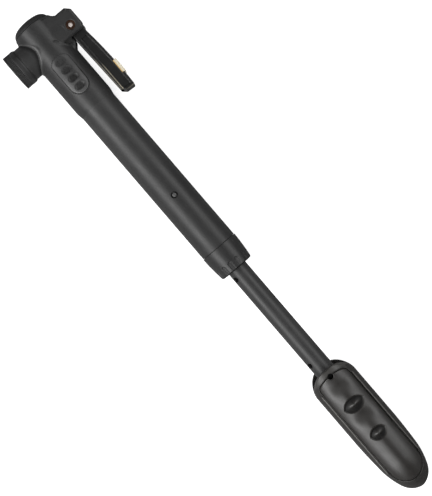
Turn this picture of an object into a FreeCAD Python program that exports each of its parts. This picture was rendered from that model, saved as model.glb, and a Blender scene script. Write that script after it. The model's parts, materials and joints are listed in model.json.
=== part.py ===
import FreeCAD, Part
import math
import os
import Sketcher

# A telescopic hand pump for bicycle tyres, lying on its back, fully extended.
#
# Own frame, in millimetres: +X runs from the head cap to the handle tip, +Y is the
# lever side, -Y the valve side, +Z the front.  The origin is under the middle of the
# pump, on the surface that it lies on.
#
# Inside this file a sub-part is drawn about the pump's axis: "along" is the distance
# from the head cap's top, and its Placement then lays it in the frame above.  A
# sub-part of the valve port is drawn about the port's axis, which runs towards -Y.

SIZES = {
    # whole pump
    "total_length": 366.0,
    "axis_height": 15.2,
    "lever_side_reach": 26.7,
    "valve_side_reach": 25.2,
    # head moulding
    "cap_line": 4.1,
    "cap_spigot_radius": 8.0,
    "cap_spigot_end": 7.6,
    "sleeve_radius": 12.75,
    "sleeve_taper": 61.5,
    "sleeve_end": 65.5,
    "sleeve_end_radius": 12.05,
    "socket_radius": 11.2,
    "socket_floor": 32.5,
    # lever block on the head
    "block_start": 8.8,
    "block_end": 24.7,
    "block_reach": 25.4,
    "block_chamfer": 3.0,
    "block_half_depth": 10.7,
    "slot_start": 11.6,
    "slot_floor": 11.5,
    "slot_half_depth": 6.3,
    "pin_along": 19.2,
    "pin_side": 19.0,
    "pin_radius": 1.5,
    "bush_radius": 2.9,
    "bush_depth": 0.8,
    # valve port, measured from the pump's axis towards -Y
    "port_along": 17.9,
    "boss_radius": 10.85,
    "boss_end": 17.0,
    "thread_radius": 9.5,
    "thread_end": 23.2,
    "chamber_radius": 8.0,
    "chamber_floor": 7.2,
    "plunger_bore": 4.0,
    "stem_bore": 3.95,
    # check valve
    "passage_radius": 2.0,
    "spring_floor": 24.2,
    "spring_cavity": 5.0,
    "seat_start": 30.2,
    "seat_radius": 6.0,
    "seat_hole": 2.2,
    # barrel
    "barrel_radius": 12.0,
    "bore_radius": 9.5,
    "barrel_start": 34.0,
    "barrel_end": 187.0,
    "barrel_thread": 11.0,
    "catch_along": 136.2,
    "catch_radius": 0.9,
    # collar at the rod end
    "collar_start": 176.7,
    "collar_end": 193.6,
    "collar_radius": 12.35,
    "collar_end_radius": 11.1,
    "bush_start": 182.4,
    "bush_flange_end": 188.5,
    "wiper_end": 190.5,
    # piston and rod
    "piston_start": 175.8,
    "piston_end": 182.0,
    "piston_radius": 9.42,
    "seal_along": 178.9,
    "rod_radius": 6.4,
    "rod_bore": 4.5,
    "rod_end": 358.0,
    # lever
    "cam_radius": 5.0,
    "cam_rise": 2.0,
    "cam_gap": 0.35,
    "lever_half_width": 6.0,
    "lever_wall": 1.5,
    "lever_tip": 69.9,
    "label_start": 50.8,
    "label_end": 60.1,
    # handle
    "mouth": 273.2,
    "shoulder": 284.6,
    "handle_half_width": 14.85,
    "handle_radius": 15.2,
    "handle_bore": 12.65,
    "handle_floor": 338.5,
    "grip_depth": 1.7,
    "grip_half_width": 10.7,
    "grip_start": 277.2,
    "grip_end": 357.3,
    "catch_travel": 141.7,
}

FAR = 40.0


class Size:
    """A length, with the sheet formula that gives it."""

    def __init__(self, formula, number):
        self.formula = formula
        self.number = number

    def __add__(self, other):
        return Size(f"({self.formula} + {formula_of(other)})", self.number + number_of(other))

    def __sub__(self, other):
        return Size(f"({self.formula} - {formula_of(other)})", self.number - number_of(other))

    def __mul__(self, factor):
        return Size(f"({self.formula} * {factor})", self.number * factor)

    def __neg__(self):
        return self * -1


def formula_of(length):
    return length.formula if isinstance(length, Size) else str(length)


def number_of(length):
    return length.number if isinstance(length, Size) else float(length)


class Sheet:
    """The spreadsheet; each of its cells is an attribute that holds a Size."""

    def __init__(self, document, table):
        cells = document.addObject("Spreadsheet::Sheet", "Sizes")
        for row, (name, value) in enumerate(table.items(), start=1):
            cells.set(f"A{row}", name)
            cells.set(f"B{row}", str(value))
            cells.setAlias(f"B{row}", name)
            setattr(self, name, Size(f"Sizes.{name}", value))


class Via(tuple):
    """A point that the outline's arc passes through, between its two neighbours."""


DOCUMENT = FreeCAD.newDocument("hand_pump")
size = Sheet(DOCUMENT, SIZES)
DOCUMENT.recompute()
SUB_PARTS = []


# ---------------------------------------------------------------- drawing

def bind(item, path, length):
    """Set one number of an object by a formula of the sheet."""
    item.setExpression(path, formula_of(length))


def new_body(name):
    body = DOCUMENT.addObject("PartDesign::Body", name)
    body.Label = name
    return body


def new_sketch(body, plane="XY_Plane", offset=(0, 0, 0)):
    """A sketch on one of the body's own origin planes, moved within it by offset."""
    sketch = body.newObject("Sketcher::SketchObject", f"{body.Name}_sketch")
    support = [item for item in body.Origin.OriginFeatures if item.Role == plane][0]
    sketch.AttachmentSupport = [(support, "")]
    sketch.MapMode = "FlatFace"
    for axis, distance in zip("xyz", offset):
        bind(sketch, f"AttachmentOffset.Base.{axis}", distance)
    return sketch


def pin_point(sketch, geometry, vertex, point):
    """Hold a vertex of the sketch at a point given by sheet formulas."""
    for kind, length in zip(("DistanceX", "DistanceY"), point):
        constraint = Sketcher.Constraint(kind, -1, 1, geometry, vertex, number_of(length))
        index = sketch.addConstraint(constraint)
        bind(sketch, f"Constraints[{index}]", length)


def flat(point):
    return FreeCAD.Vector(number_of(point[0]), number_of(point[1]), 0)


def draw_outline(sketch, points):
    """A closed outline of straight lines, and of arcs where a Via point stands."""
    corners = [point for point in points if not isinstance(point, Via)]
    first = sketch.GeometryCount
    vias = []
    for index, corner in enumerate(corners):
        follower = corners[(index + 1) % len(corners)]
        between = points[(points.index(corner) + 1) % len(points)]
        if isinstance(between, Via):
            arc = Part.Arc(flat(corner), flat(between), flat(follower))
            sketch.addGeometry(arc)
            vias.append((first + index, between))
        else:
            sketch.addGeometry(Part.LineSegment(flat(corner), flat(follower)))
    ends = []
    for index, corner in enumerate(corners):
        forwards = (sketch.getPoint(first + index, 1) - flat(corner)).Length < 1e-6
        ends.append((1, 2) if forwards else (2, 1))
    for index, corner in enumerate(corners):
        after = (index + 1) % len(corners)
        sketch.addConstraint(Sketcher.Constraint(
            "Coincident", first + index, ends[index][1], first + after, ends[after][0]))
        pin_point(sketch, first + index, ends[index][0], corner)
    for edge, point in vias:
        mark = sketch.addGeometry(Part.Point(flat(point)), True)
        pin_point(sketch, mark, 1, point)
        sketch.addConstraint(Sketcher.Constraint("PointOnObject", mark, 1, edge))


def draw_circle(sketch, centre, radius):
    circle = Part.Circle(flat(centre), FreeCAD.Vector(0, 0, 1), number_of(radius))
    edge = sketch.addGeometry(circle)
    pin_point(sketch, edge, 3, centre)
    index = sketch.addConstraint(Sketcher.Constraint("Radius", edge, number_of(radius)))
    bind(sketch, f"Constraints[{index}]", radius)


# ---------------------------------------------------------------- features

def turn(body, points, cut=False, axis="H_Axis", offset=(0, 0, 0)):
    """Revolve an outline about the body's X axis, or about the sketch's own V axis."""
    sketch = new_sketch(body, "XY_Plane", offset)
    draw_outline(sketch, points)
    kind = "Groove" if cut else "Revolution"
    feature = body.newObject(f"PartDesign::{kind}", f"{body.Name}_{kind.lower()}")
    feature.Profile = sketch
    feature.ReferenceAxis = (sketch, [axis])
    feature.Angle = 360
    return feature


def extrude(body, sketch, length, cut=False, both_ways=True, backwards=False):
    """Pad or pocket a sketch, by default half to each side of its plane."""
    kind = "Pocket" if cut else "Pad"
    feature = body.newObject(f"PartDesign::{kind}", f"{body.Name}_{kind.lower()}")
    feature.Profile = sketch
    feature.SideType = "Symmetric" if both_ways else "One side"
    feature.Reversed = backwards
    bind(feature, "Length", length)
    return feature


def slab(body, points, depth, cut=False):
    """Extrude an outline, half of depth to each side of its plane."""
    sketch = new_sketch(body)
    draw_outline(sketch, points)
    return extrude(body, sketch, depth, cut)


def drill(body, centre, radius, depth, start=0, both_ways=True):
    """Cut a round hole along z, from start or half to each side of the middle plane."""
    sketch = new_sketch(body, offset=(0, 0, start))
    draw_circle(sketch, centre, radius)
    return extrude(body, sketch, depth, True, both_ways)


def turned(name, points):
    """A body that is one revolved outline about the X axis."""
    body = new_body(name)
    turn(body, points)
    return body


def ring(name, start, end, inner, outer):
    """A plain ring about the X axis."""
    return turned(name, [(start, inner), (start, outer), (end, outer), (end, inner)])


def round_ring(name, along, middle_radius, section_radius):
    """A ring of round section about the X axis, such as an O-ring."""
    body = new_body(name)
    sketch = new_sketch(body)
    draw_circle(sketch, (along, middle_radius), section_radius)
    feature = body.newObject("PartDesign::Revolution", f"{name}_revolution")
    feature.Profile = sketch
    feature.ReferenceAxis = (sketch, ["H_Axis"])
    feature.Angle = 360
    return body


def combine(kind, name, base, tool):
    """A boolean of two drawn solids: Cut, Common or Fuse."""
    result = DOCUMENT.addObject(f"Part::{kind}", name)
    result.Label = name
    result.Base = base
    result.Tool = tool
    return result


def rod_along_z(name, centre, radius, low, high):
    """A round rod parallel to Z."""
    body = new_body(name)
    sketch = new_sketch(body, "XY_Plane", (0, 0, low))
    draw_circle(sketch, centre, radius)
    extrude(body, sketch, high - low, both_ways=False)
    return body


# ---------------------------------------------------------------- placing

def lay(solid):
    """Place a sub-part that is drawn about the pump's axis."""
    bind(solid, "Placement.Base.x", size.total_length * -0.5)
    bind(solid, "Placement.Base.y", (size.valve_side_reach - size.lever_side_reach) * 0.5)
    bind(solid, "Placement.Base.z", size.axis_height)
    SUB_PARTS.append(solid)


def lay_on_port(solid):
    """Place a sub-part that is drawn about the port's axis, towards -Y."""
    turn_to_port = FreeCAD.Rotation(FreeCAD.Vector(0, 0, 1), -90)
    solid.Placement = FreeCAD.Placement(FreeCAD.Vector(), turn_to_port)
    lay(solid)
    bind(solid, "Placement.Base.x", size.port_along - size.total_length * 0.5)


# ---------------------------------------------------------------- head

BADGE_START = size.socket_floor - 4.0
BADGE_LENGTH = 26.8
BADGE_HALF_WIDTH = 6.2
BADGE_FLOOR = 12.25
BADGE_TOP = 13.35


def badge_prism(name, margin):
    """The stadium-shaped prism that the badge and its recess are cut with."""
    start = BADGE_START - margin
    end = BADGE_START + BADGE_LENGTH + margin
    half = BADGE_HALF_WIDTH + margin
    body = new_body(name)
    sketch = new_sketch(body)
    draw_outline(sketch, [
        (start + half * 0.5, -half), Via((start, 0)), (start + half * 0.5, half),
        (end - half, half), Via((end, 0)), (end - half, -half)])
    extrude(body, sketch, FAR, both_ways=False)
    return body


def make_head_body():
    """The moulding that holds the barrel, the check valve, the port and the lever."""
    body = new_body("head_moulding")
    turn(body, [
        (size.cap_line, 0), (size.cap_line, size.sleeve_radius),
        (size.sleeve_taper, size.sleeve_radius), (size.sleeve_end, size.sleeve_end_radius),
        (size.sleeve_end, 0)])
    slab(body, [
        (size.block_start, 0), (size.block_start, size.block_reach - size.block_chamfer),
        (size.block_start + size.block_chamfer, size.block_reach),
        (size.block_end - 2.4, size.block_reach), (size.block_end, size.block_reach - 1.4),
        (size.block_end, 0)], size.block_half_depth * 2)
    slab(body, [
        (size.block_end - 1, 8), (size.block_end - 1, 15.2), (size.block_end + 2.4, 15.2),
        (size.block_end + 7, 12), (size.block_end + 7, 8)], size.block_half_depth)
    port = (size.port_along, 0, 0)
    turn(body, [
        (0, 14.5), (size.boss_radius, 14.5), (size.boss_radius, -size.boss_end),
        (size.thread_radius, -size.boss_end), (size.thread_radius, -size.thread_end),
        (0, -size.thread_end)], axis="V_Axis", offset=port)
    cut_head_bores(body, port)
    cut_lever_slot(body)
    DOCUMENT.recompute()
    recess = combine("Cut", "badge_recess", badge_prism("badge_recess_prism", 0.05),
                     turned("badge_recess_floor", core_outline(BADGE_FLOOR)))
    head = combine("Cut", "head_body", body, recess)
    lay(head)


def core_outline(radius):
    return [(0, 0), (0, radius), (size.sleeve_end + 5, radius), (size.sleeve_end + 5, 0)]


def cut_head_bores(body, port):
    """Cap recess, check valve cavity, barrel socket, and the bore across the head."""
    turn(body, [
        (size.cap_line - 1, 0), (size.cap_line - 1, size.cap_spigot_radius),
        (size.cap_spigot_end, size.cap_spigot_radius), (size.cap_spigot_end, 0)], cut=True)
    turn(body, [
        (size.port_along, 0), (size.port_along, size.passage_radius),
        (size.spring_floor, size.passage_radius), (size.spring_floor, size.spring_cavity),
        (size.seat_start, size.spring_cavity), (size.seat_start, size.seat_radius),
        (size.socket_floor, size.seat_radius), (size.socket_floor, size.socket_radius),
        (size.sleeve_end + 1, size.socket_radius), (size.sleeve_end + 1, 0)], cut=True)
    turn(body, [
        (0, size.slot_floor + 1), (size.plunger_bore, size.slot_floor + 1),
        (size.plunger_bore, -size.chamber_floor), (size.chamber_radius, -size.chamber_floor),
        (size.chamber_radius, -size.thread_end - 1), (0, -size.thread_end - 1)],
        cut=True, axis="V_Axis", offset=port)


def cut_lever_slot(body):
    """The slot between the ears, the hinge pin's hole and the two bush pockets."""
    slab(body, [
        (size.slot_start, size.slot_floor), (size.slot_start, size.block_reach + 1),
        (size.block_end, size.block_reach + 1), (size.block_end, size.slot_floor)],
        size.slot_half_depth * 2, cut=True)
    centre = (size.pin_along, size.pin_side)
    drill(body, centre, size.pin_radius, size.block_half_depth * 2 + 2)
    pocket_floor = size.block_half_depth - size.bush_depth
    for side in (1, -1):
        sketch = new_sketch(body, "XY_Plane", (0, 0, pocket_floor * side))
        draw_circle(sketch, centre, size.bush_radius)
        extrude(body, sketch, 2, True, both_ways=False, backwards=side > 0)


def make_head_cap():
    lay(turned("head_cap", [
        (0, 0), (0, 7.6), Via((1.4, 10.9)), (size.cap_line, size.sleeve_radius - 0.45),
        (size.cap_line, size.cap_spigot_radius),
        (size.cap_spigot_end - 0.1, size.cap_spigot_radius),
        (size.cap_spigot_end - 0.1, 0)]))


def make_head_badge():
    """The plate let into the front of the head."""
    plate = combine("Common", "badge_plate", badge_prism("badge_prism", 0),
                    turned("badge_top", core_outline(BADGE_TOP)))
    lay(combine("Cut", "head_badge", plate,
                turned("badge_floor", core_outline(BADGE_FLOOR))))


# ---------------------------------------------------------------- valve port

CAP_START = size.boss_end + 0.5
CAP_RADIUS = 11.6
GROMMET_START = size.chamber_floor + 2.3
GROMMET_END = size.thread_end - 1.1


def make_plunger():
    """The rod that the lever's cam pushes, with its flange behind the grommet."""
    tip = size.pin_side - size.cam_radius - size.cam_gap
    rod = size.plunger_bore - 0.05
    body = turned("plunger", [
        (-tip, 0), (-tip, rod - 0.5), (-tip + 0.5, rod), (-8.2, rod), (-8.2, 2.7),
        (-6.8, 2.7), (-6.8, rod), (-2.6, rod), (-2.6, 2.7), (2.6, 2.7), (2.6, rod),
        (size.chamber_floor + 0.3, rod), (size.chamber_floor + 0.3, size.chamber_radius - 0.1),
        (GROMMET_START, size.chamber_radius - 0.1), (GROMMET_START, 0)])
    turn(body, [(0, 0), (0, 1.2), (GROMMET_START + 1, 1.2), (GROMMET_START + 1, 0)], cut=True)
    drill(body, (0, 0), 0.9, size.plunger_bore * 2)
    lay_on_port(body)
    lay_on_port(round_ring("plunger_oring", -7.5, 3.34, 0.62))


def make_core_depressor():
    """The hollow pin that opens the tyre valve's core."""
    foot = GROMMET_START
    body = turned("core_depressor", [
        (foot, 0), (foot, 3.3), (foot + 0.8, 3.3), (foot + 1.4, 1.3), (foot + 7, 1.1),
        (foot + 7, 0)])
    turn(body, [(foot - 1, 0), (foot - 1, 0.5), (foot + 5, 0.5), (foot + 5, 0)], cut=True)
    drill(body, (foot + 4, 0), 0.5, 4)
    lay_on_port(body)


def make_grommet():
    """The rubber bush that grips the tyre valve's stem, and its washer."""
    lay_on_port(turned("valve_grommet", [
        (GROMMET_START, size.stem_bore + 0.65), (GROMMET_START, size.chamber_radius - 0.3),
        (GROMMET_END, size.chamber_radius - 0.3), (GROMMET_END, size.stem_bore),
        (size.boss_end, size.stem_bore), (size.boss_end, size.stem_bore + 0.65)]))
    lay_on_port(ring("grommet_washer", GROMMET_END + 0.05, size.thread_end - 0.1,
                     size.stem_bore + 0.3, size.chamber_radius - 0.2))


def make_valve_cap():
    """The knurled cap that screws on the port and holds the grommet in."""
    lay_on_port(turned("valve_cap", [
        (CAP_START, size.thread_radius + 0.08), (CAP_START, CAP_RADIUS - 0.3),
        (CAP_START + 0.8, CAP_RADIUS), (size.valve_side_reach - 1.2, CAP_RADIUS),
        (size.valve_side_reach, CAP_RADIUS - 1.2),
        (size.valve_side_reach, size.stem_bore + 1.1),
        (size.valve_side_reach - 0.6, size.stem_bore + 0.5),
        (size.thread_end + 0.3, size.stem_bore + 0.5),
        (size.thread_end + 0.3, size.thread_radius + 0.08)]))


# ---------------------------------------------------------------- check valve

def make_check_valve():
    """Seat, disc and spring between the cylinder and the port."""
    lay(ring("check_valve_seat", size.seat_start, size.socket_floor - 0.1,
             size.seat_hole, size.seat_radius))
    disc_end = size.seat_start - 0.05
    disc_start = disc_end - 1.3
    lay(turned("check_valve_disc", [
        (disc_start - 0.8, 0), (disc_start - 0.8, 2.4), (disc_start, 2.4), (disc_start, 4.2),
        (disc_end, 4.2), (disc_end, 0)]))
    make_spring("check_valve_spring", size.spring_floor, disc_start, 3.1, 0.3, 4)


def make_spring(name, start, end, coil_radius, wire_radius, turns):
    """A coil spring about the X axis, between two faces."""
    body = new_body(name)
    sketch = new_sketch(body)
    draw_circle(sketch, (start + wire_radius, coil_radius), wire_radius)
    coil = body.newObject("PartDesign::AdditiveHelix", f"{name}_helix")
    coil.Profile = sketch
    coil.ReferenceAxis = (sketch, ["H_Axis"])
    coil.Mode = "height-turns-angle"
    coil.Turns = turns
    bind(coil, "Height", end - start - wire_radius * 2)
    lay(body)


# ---------------------------------------------------------------- lever

def cam_point(degrees):
    """A point of the cam's spiral; degrees run from the resting contact, backwards."""
    share = degrees / 90.0
    angle = math.radians(-90 - degrees)
    radius = size.cam_radius + size.cam_rise * share
    return (size.pin_along + radius * math.cos(angle), size.pin_side + radius * math.sin(angle))


def make_lever():
    """The flip lever: a channel that opens towards the barrel, with a cam at its hinge."""
    body = new_body("lever_moulding")
    top = size.cam_radius + size.cam_rise
    slab(body, [
        cam_point(0), Via(cam_point(22.5)), cam_point(45), Via(cam_point(67.5)), cam_point(90),
        Via((size.pin_along - top * 0.88, size.pin_side + 3.3)),
        (size.pin_along - 3.4, size.pin_side + 5.0),
        (28.0, 24.3), Via((48.0, 25.6)), (size.lever_tip - 0.7, 25.5), (size.lever_tip, 24.9),
        (size.lever_tip - 0.4, 19.4), (size.lever_tip - 2.8, 16.8), (25.5, 15.6)],
        size.lever_half_width * 2)
    slab(body, [
        (29.0, 13.0), (27.5, 19.5), (30.0, 22.4), Via((48.0, 23.5)),
        (size.lever_tip - 2.0, 23.3), (size.lever_tip - 1.6, 13.0)],
        (size.lever_half_width - size.lever_wall) * 2, cut=True)
    drill(body, (size.pin_along, size.pin_side), size.pin_radius + 0.05,
          size.lever_half_width * 2 + 2)
    lay(combine("Cut", "flip_lever", body, label_plate("label_recess", 1.0)))
    lay(label_plate("lever_label", -0.05))


LABEL_FLOOR = 24.3


def label_plate(name, beyond):
    """The plate across the lever's outer face, to a distance beyond the lever's sides."""
    body = new_body(name)
    slab(body, [
        (size.label_start, LABEL_FLOOR), (size.label_start, size.lever_side_reach - 0.4),
        (size.label_start + 0.5, size.lever_side_reach),
        (size.label_end - 0.5, size.lever_side_reach),
        (size.label_end, size.lever_side_reach - 0.4), (size.label_end, LABEL_FLOOR)],
        (size.lever_half_width + beyond) * 2)
    return body


def make_lever_pin():
    pin_end = size.block_half_depth - 0.3
    centre = (size.pin_along, size.pin_side)
    lay(rod_along_z("lever_pin", centre, size.pin_radius, -pin_end, pin_end))
    for side, low in (("front", size.block_half_depth - size.bush_depth),
                      ("rear", -size.block_half_depth + 0.1)):
        bush = rod_along_z(f"lever_pin_bush_{side}", centre, size.bush_radius,
                           low, low + size.bush_depth - 0.1)
        drill(bush, centre, size.pin_radius, size.block_half_depth * 3)
        lay(bush)


# ---------------------------------------------------------------- barrel

def make_barrel():
    """The cylinder tube, reduced where the head holds it and where the collar screws on."""
    body = turned("barrel_tube", [
        (size.barrel_start, size.bore_radius), (size.barrel_start, size.socket_radius),
        (size.sleeve_end, size.socket_radius), (size.sleeve_end, size.barrel_radius),
        (size.collar_start, size.barrel_radius), (size.collar_start, size.barrel_thread),
        (size.barrel_end, size.barrel_thread), (size.barrel_end, size.bore_radius)])
    drill(body, (size.catch_along, 0), size.catch_radius, 5, start=size.bore_radius + 0.6,
          both_ways=False)
    body.Tip.Reversed = True
    lay(body)
    lay(ring("barrel_gasket", size.socket_floor, size.barrel_start,
             size.bore_radius + 0.1, size.socket_radius - 0.1))


def make_catch_pin():
    """The domed pin on the barrel that drops into the handle's hole when it is closed."""
    body = new_body("catch_pin")
    foot = size.bore_radius + 0.6
    turn(body, [
        (0, foot), (size.catch_radius, foot), (size.catch_radius, size.barrel_radius),
        (1.35, size.barrel_radius), Via((1.05, size.barrel_radius + 0.28)),
        (0.5, size.barrel_radius + 0.42), (0, size.barrel_radius + 0.42)],
        axis="V_Axis", offset=(size.catch_along, 0, 0))
    to_front = FreeCAD.Rotation(FreeCAD.Vector(1, 0, 0), 90)
    body.Placement = FreeCAD.Placement(FreeCAD.Vector(), to_front)
    lay(body)


def make_collar():
    """The end nut, the rod's guide bush and its wiper."""
    lay(turned("collar", [
        (size.collar_start, size.barrel_thread + 0.05),
        (size.collar_start, size.collar_radius - 0.3),
        (size.collar_start + 0.4, size.collar_radius),
        (size.collar_start + 5, size.collar_radius - 0.2),
        (size.collar_start + 12, size.collar_radius - 0.8),
        (size.collar_end - 0.5, size.collar_end_radius),
        (size.collar_end, size.collar_end_radius - 0.8),
        (size.collar_end, size.rod_radius + 0.3), (size.wiper_end + 0.1, size.rod_radius + 0.3),
        (size.wiper_end + 0.1, 9.05), (size.bush_flange_end, 9.05),
        (size.bush_flange_end, size.barrel_thread + 0.05)]))
    lay(turned("rod_guide_bush", [
        (size.bush_start, size.rod_radius + 0.05), (size.bush_start, size.bore_radius - 0.02),
        (size.barrel_end, size.bore_radius - 0.02), (size.barrel_end, size.barrel_thread - 0.05),
        (size.bush_flange_end, size.barrel_thread - 0.05),
        (size.bush_flange_end, size.rod_radius + 0.05)]))
    lay(turned("rod_wiper", [
        (size.bush_flange_end, size.rod_radius + 0.3), (size.bush_flange_end, 9.0),
        (size.wiper_end, 9.0), (size.wiper_end, size.rod_radius + 0.03),
        (size.wiper_end - 0.5, size.rod_radius + 0.03)]))


# ---------------------------------------------------------------- piston and rod

def make_piston():
    """Piston with its O-ring, and the screw and plug that hold it to the rod."""
    groove = size.seal_along - 1.15
    lay(turned("piston", [
        (size.piston_start, 3.8), (size.piston_start, size.piston_radius - 0.4),
        (size.piston_start + 0.4, size.piston_radius), (groove, size.piston_radius),
        (groove, 7.28), (groove + 2.3, 7.28), (groove + 2.3, size.piston_radius),
        (size.piston_end, size.piston_radius), (size.piston_end, 2.1),
        (size.piston_start + 2.7, 2.1), (size.piston_start + 2.7, 3.8)]))
    lay(round_ring("piston_seal", size.seal_along, 8.38, 1.08))
    screw = turned("piston_screw", [
        (size.piston_start + 0.2, 0), (size.piston_start + 0.2, 3.2),
        (size.piston_start + 0.6, 3.5), (size.piston_start + 2.4, 3.5),
        (size.piston_start + 2.4, 2.0), (size.piston_end + 12, 2.0), (size.piston_end + 12, 0)])
    sketch = new_sketch(screw, "YZ_Plane", (0, 0, size.piston_start))
    draw_outline(sketch, hexagon(1.5))
    extrude(screw, sketch, 1.6, True, both_ways=False, backwards=True)
    lay(screw)
    lay(ring("rod_plug", size.piston_end + 0.3, size.piston_end + 14, 2.0, size.rod_bore))


def hexagon(radius):
    angles = [math.radians(60 * corner) for corner in range(6)]
    return [(radius * math.cos(angle), radius * math.sin(angle)) for angle in angles]


ROD_HOLES = (198.6, 266.7)
ROD_HOLE_TURN = 54.0


def make_rod():
    """The hollow push rod, with two vent holes on the valve side of its front."""
    tube = ring("rod_tube", size.piston_end + 0.3, size.rod_end, size.rod_bore, size.rod_radius)
    for along in ROD_HOLES:
        drill(tube, (along, 0), 1.8, size.rod_radius + 2, both_ways=False)
        tube.Tip.Reversed = True
    around = FreeCAD.Rotation(FreeCAD.Vector(1, 0, 0), ROD_HOLE_TURN)
    tube.Placement = FreeCAD.Placement(FreeCAD.Vector(), around)
    drilled = combine("Cut", "push_rod", tube, anchor_pin_body("anchor_pin_bore"))
    lay(drilled)


# ---------------------------------------------------------------- handle

ANCHOR_ALONG = 347.0
ANCHOR_RADIUS = 1.5
SCREW_ALONG = 341.5
SCREW_SIDE = 8.0
SCREW_RADIUS = 1.1
SCREW_END = 7.0
SCREW_SEAT = -6.2
SCREW_HEAD_RADIUS = 1.9
SCREW_HEAD_HEIGHT = 1.3


def anchor_pin_body(name):
    return rod_along_z(name, (ANCHOR_ALONG, 0), ANCHOR_RADIUS,
                       -size.handle_radius + 4, size.handle_radius - 4)


# The handle's outline towards its tip: the distance back from the tip, the share of
# the full radius there, and the direction of the outline's normal in degrees.
TIP_START = (44.0, 1.0, 90.0)
TIP_SWELL = (32.5, 0.975, 87.0)
TIP_BEND = (22.9, 0.938, 84.0)
TIP_ROUND = (15.0, 0.848, 77.0)
TIP_NOSE = (9.0, 0.718, 69.0)
TIP_CURVE = (3.0, 0.433, 43.0)
TIP_END = (0.0, 0.0, 0.0)


def tip_point(place, full, inset=0.0, side=1):
    """A point of the tip's outline, moved inwards by inset along the normal."""
    back, share, normal = place
    lean = math.radians(normal)
    along = size.total_length - (back + inset * math.cos(lean))
    return (along, full * (share * side) - inset * math.sin(lean) * side)


def tip_profile(full, inset=0.0, side=1):
    """The outline from the straight part to the tip, as three arcs."""
    return [
        tip_point(TIP_START, full, inset, side), Via(tip_point(TIP_SWELL, full, inset, side)),
        tip_point(TIP_BEND, full, inset, side), Via(tip_point(TIP_ROUND, full, inset, side)),
        tip_point(TIP_NOSE, full, inset, side), Via(tip_point(TIP_CURVE, full, inset, side)),
        tip_point(TIP_END, full, inset, side)]


def handle_blank(name, inset):
    """The handle as a solid of revolution, shrunk by inset."""
    mouth = [(size.mouth - 2, 0), (size.mouth - 2, size.handle_radius - inset)]
    return turned(name, mouth + tip_profile(size.handle_radius, inset))


def handle_prism(name):
    """The handle's outline from the front, extruded: round mouth, flat sides, round tip."""
    half = size.handle_half_width
    valve_side = list(reversed(tip_profile(half, side=-1)))[1:]
    mouth = [
        (size.shoulder, -half), Via((size.mouth + 7.0, -13.35)), (size.mouth + 4.2, -11.4),
        Via((size.mouth + 0.6, -6.2)), (size.mouth, 0), Via((size.mouth + 0.6, 6.2)),
        (size.mouth + 4.2, 11.4), Via((size.mouth + 7.0, 13.35)), (size.shoulder, half)]
    body = new_body(name)
    slab(body, tip_profile(half) + valve_side + mouth, FAR)
    return body


def grip_prism(name, upwards):
    """The soft grip's outline, extruded to the front or to the rear."""
    half = size.grip_half_width
    body = new_body(name)
    sketch = new_sketch(body)
    draw_outline(sketch, [
        (size.grip_start + 2.6, -half), Via((size.grip_start, 0)), (size.grip_start + 2.6, half),
        (size.grip_end - 9.0, half), Via((size.grip_end, 0)), (size.grip_end - 9.0, -half)])
    extrude(body, sketch, FAR, both_ways=False, backwards=not upwards)
    return body


def half_space(name, upwards):
    """Everything on one side of the plane where the two shells meet."""
    body = new_body(name)
    sketch = new_sketch(body)
    draw_outline(sketch, [
        (size.mouth - 10, -FAR), (size.mouth - 10, FAR),
        (size.total_length + 10, FAR), (size.total_length + 10, -FAR)])
    extrude(body, sketch, FAR, both_ways=False, backwards=not upwards)
    return body


def make_handle():
    """Two shells that meet beside the rod, each with a soft grip let into it."""
    solid = combine("Common", "handle_solid", handle_blank("handle_turned", 0.0),
                    handle_prism("handle_outline"))
    floor = handle_blank("grip_floor", size.grip_depth.number)
    catch_hole = rod_along_z("catch_hole", (size.catch_along + size.catch_travel, 0), 1.85,
                             size.handle_bore - 3, size.handle_radius + 3)
    for side, upwards in (("front", True), ("rear", False)):
        skin = combine("Common", f"grip_skin_{side}", solid,
                       grip_prism(f"grip_prism_{side}", upwards))
        pocket = combine("Cut", f"grip_pocket_{side}", skin, floor)
        half = combine("Common", f"handle_half_{side}", solid,
                       half_space(f"handle_side_{side}", upwards))
        shell = combine("Cut", f"handle_shell_{side}", half, pocket)
        hollow = combine("Cut", f"handle_hollow_{side}", shell,
                         handle_cavity(f"handle_cavity_{side}"))
        lay(combine("Cut", f"handle_{side}_shell", hollow, catch_hole))
        lay(combine("Cut", f"{side}_grip", pocket, catch_hole))


def handle_cavity(name):
    """The bore that swallows the barrel, the rod's socket, and the pin and screw holes."""
    body = turned(name, [
        (size.mouth - 12, 0), (size.mouth - 12, size.handle_bore),
        (size.handle_floor, size.handle_bore), (size.handle_floor, size.rod_radius),
        (size.rod_end, size.rod_radius), (size.rod_end, 0)])
    sketch = new_sketch(body)
    draw_circle(sketch, (ANCHOR_ALONG, 0), ANCHOR_RADIUS)
    extrude(body, sketch, size.handle_radius * 2 - 8)
    for side in (1, -1):
        centre = (SCREW_ALONG, SCREW_SIDE * side)
        shank = new_sketch(body)
        draw_circle(shank, centre, SCREW_RADIUS)
        extrude(body, shank, SCREW_END * 2)
        head = new_sketch(body, "XY_Plane", (0, 0, SCREW_SEAT))
        draw_circle(head, centre, SCREW_HEAD_RADIUS)
        extrude(body, head, SCREW_HEAD_HEIGHT * 3, both_ways=False, backwards=True)
    return body


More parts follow.
